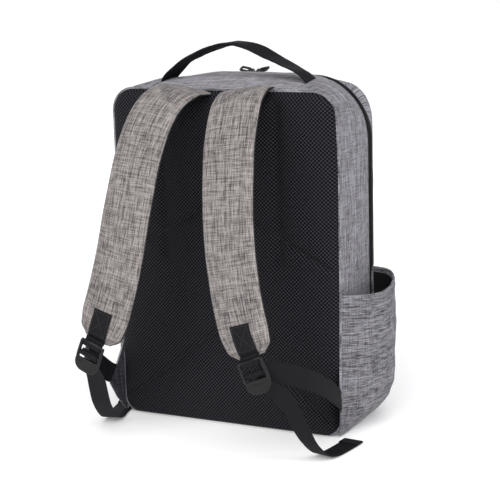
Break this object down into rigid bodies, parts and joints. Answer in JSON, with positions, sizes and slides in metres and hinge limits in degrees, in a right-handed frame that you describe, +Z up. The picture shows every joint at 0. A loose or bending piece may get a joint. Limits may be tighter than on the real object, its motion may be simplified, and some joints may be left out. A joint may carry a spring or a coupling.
{
  "type": "diaper bag",
  "caption": "Backpack-style diaper bag with padded mesh back panel, shoulder straps, carry handle, side bottle pockets and a zipped front that folds open.",
  "frame": {"origin": "centre of the base's resting face", "axes": "+Z up, -Y out of the harness side with the back panel and straps, +X to the right when that side is seen"},
  "size_m": [0.3719, 0.3161, 0.4752],
  "materials": {
    "grey_cloth": "woven heather melange, matt",
    "air_mesh": "open spacer mesh, matt",
    "black_lining": "smooth plain weave, matt",
    "webbing": "ribbed woven webbing, matt",
    "elastic_binding": "ribbed tape, matt",
    "zip_tape": "coil zip on woven tape",
    "foam": "closed-cell foam",
    "stiffener": "flat sheet",
    "lock_plastic": "fine moulded texture, satin",
    "zip_metal": "dark lacquered, satin"
  },
  "bodies": {
    "bag": {"back_mesh": "air_mesh", "back_foam": "foam", "back_board": "stiffener", "back_piping": "grey_cloth", "gusset_left": "grey_cloth", "gusset_right": "grey_cloth", "yoke_top": "grey_cloth", "base_panel": "black_lining", "base_board": "stiffener", "front_lower": "grey_cloth", "zip_tape_body": "zip_tape", "lining_body": "black_lining", "sleeve_panel": "black_lining", "sleeve_binding": "elastic_binding", "side_pocket_left": "grey_cloth", "side_pocket_right": "grey_cloth", "pocket_hem_left": "grey_cloth", "pocket_hem_right": "grey_cloth", "pocket_lining_left": "black_lining", "pocket_lining_right": "black_lining", "wing_left": "grey_cloth", "wing_right": "grey_cloth", "adjuster_left": "webbing", "adjuster_right": "webbing", "handle_ends": "webbing"},
    "handle": {"carry_handle": "webbing"},
    "front_flap": {"front_panel": "grey_cloth", "lining_flap": "black_lining", "zip_tape_flap": "zip_tape", "inner_pocket": "black_lining", "inner_pocket_elastic": "elastic_binding", "front_zip_tape": "zip_tape"},
    "front_slider": {"front_zip_slider": "zip_metal"},
    "front_pull": {"front_zip_pull": "zip_metal"},
    "strap_left": {"strap_cover_left": "grey_cloth", "strap_foam_left": "foam", "strap_mesh_left": "air_mesh", "strap_tab_left": "webbing", "tail_left": "webbing", "tail_hem_left": "webbing"},
    "lock_left": {"ladder_lock_left": "lock_plastic", "web_wrap_left": "webbing"},
    "slider_left": {"zip_slider_left": "zip_metal"},
    "pull_left": {"zip_pull_left": "zip_metal"},
    "strap_right": {"strap_cover_right": "grey_cloth", "strap_foam_right": "foam", "strap_mesh_right": "air_mesh", "strap_tab_right": "webbing", "tail_right": "webbing", "tail_hem_right": "webbing"},
    "lock_right": {"ladder_lock_right": "lock_plastic", "web_wrap_right": "webbing"},
    "slider_right": {"zip_slider_right": "zip_metal"},
    "pull_right": {"zip_pull_right": "zip_metal"}
  },
  "joints": [
    {"name": "handle_swing", "type": "hinge", "parent": "bag", "child": "handle", "pos_m": [0, -0.028, 0.43], "axis": [1, 0, 0], "range_deg": [-35, 35]},
    {"name": "flap_open", "type": "hinge", "parent": "bag", "child": "front_flap", "pos_m": [0, 0.08, 0.19], "axis": [-1, 0, 0], "range_deg": [0, 75]},
    {"name": "front_slider_slide", "type": "slide", "parent": "front_flap", "child": "front_slider", "axis": [1, 0, 0], "range_m": [0, 0.17]},
    {"name": "front_pull_turn", "type": "hinge", "parent": "front_slider", "child": "front_pull", "pos_m": [-0.087, 0.0858, 0.345], "axis": [0, 0, 1], "range_deg": [-8, 140]},
    {"name": "strap_left_swing", "type": "hinge", "parent": "bag", "child": "strap_left", "pos_m": [-0.0395, -0.081, 0.421], "axis": [-1, 0, 0], "range_deg": [-14, 20], "deforming": ["adjuster_left", "tail_left", "tail_hem_left"]},
    {"name": "lock_left_tilt", "type": "hinge", "parent": "strap_left", "child": "lock_left", "pos_m": [-0.106, -0.223, 0.126], "axis": [0.9245, 0, -0.3811], "range_deg": [-15, 20]},
    {"name": "slider_left_slide", "type": "slide", "parent": "bag", "child": "slider_left", "axis": [-1, 0, 0], "range_m": [0, 0.04]},
    {"name": "pull_left_turn", "type": "hinge", "parent": "slider_left", "child": "pull_left", "pos_m": [-0.0169, 0.04181, 0.43435], "axis": [0, 0.9397, 0.342], "range_deg": [-20, 100]},
    {"name": "strap_right_swing", "type": "hinge", "parent": "bag", "child": "strap_right", "pos_m": [0.0395, -0.081, 0.421], "axis": [-1, 0, 0], "range_deg": [-14, 20], "deforming": ["adjuster_right", "tail_right", "tail_hem_right"]},
    {"name": "lock_right_tilt", "type": "hinge", "parent": "strap_right", "child": "lock_right", "pos_m": [0.106, -0.223, 0.126], "axis": [0.9245, 0, 0.3811], "range_deg": [-15, 20]},
    {"name": "slider_right_slide", "type": "slide", "parent": "bag", "child": "slider_right", "axis": [1, 0, 0], "range_m": [0, 0.06]},
    {"name": "pull_right_turn", "type": "hinge", "parent": "slider_right", "child": "pull_right", "pos_m": [-0.0071, 0.04181, 0.43435], "axis": [0, -0.9397, -0.342], "range_deg": [-20, 100]}
  ]
}
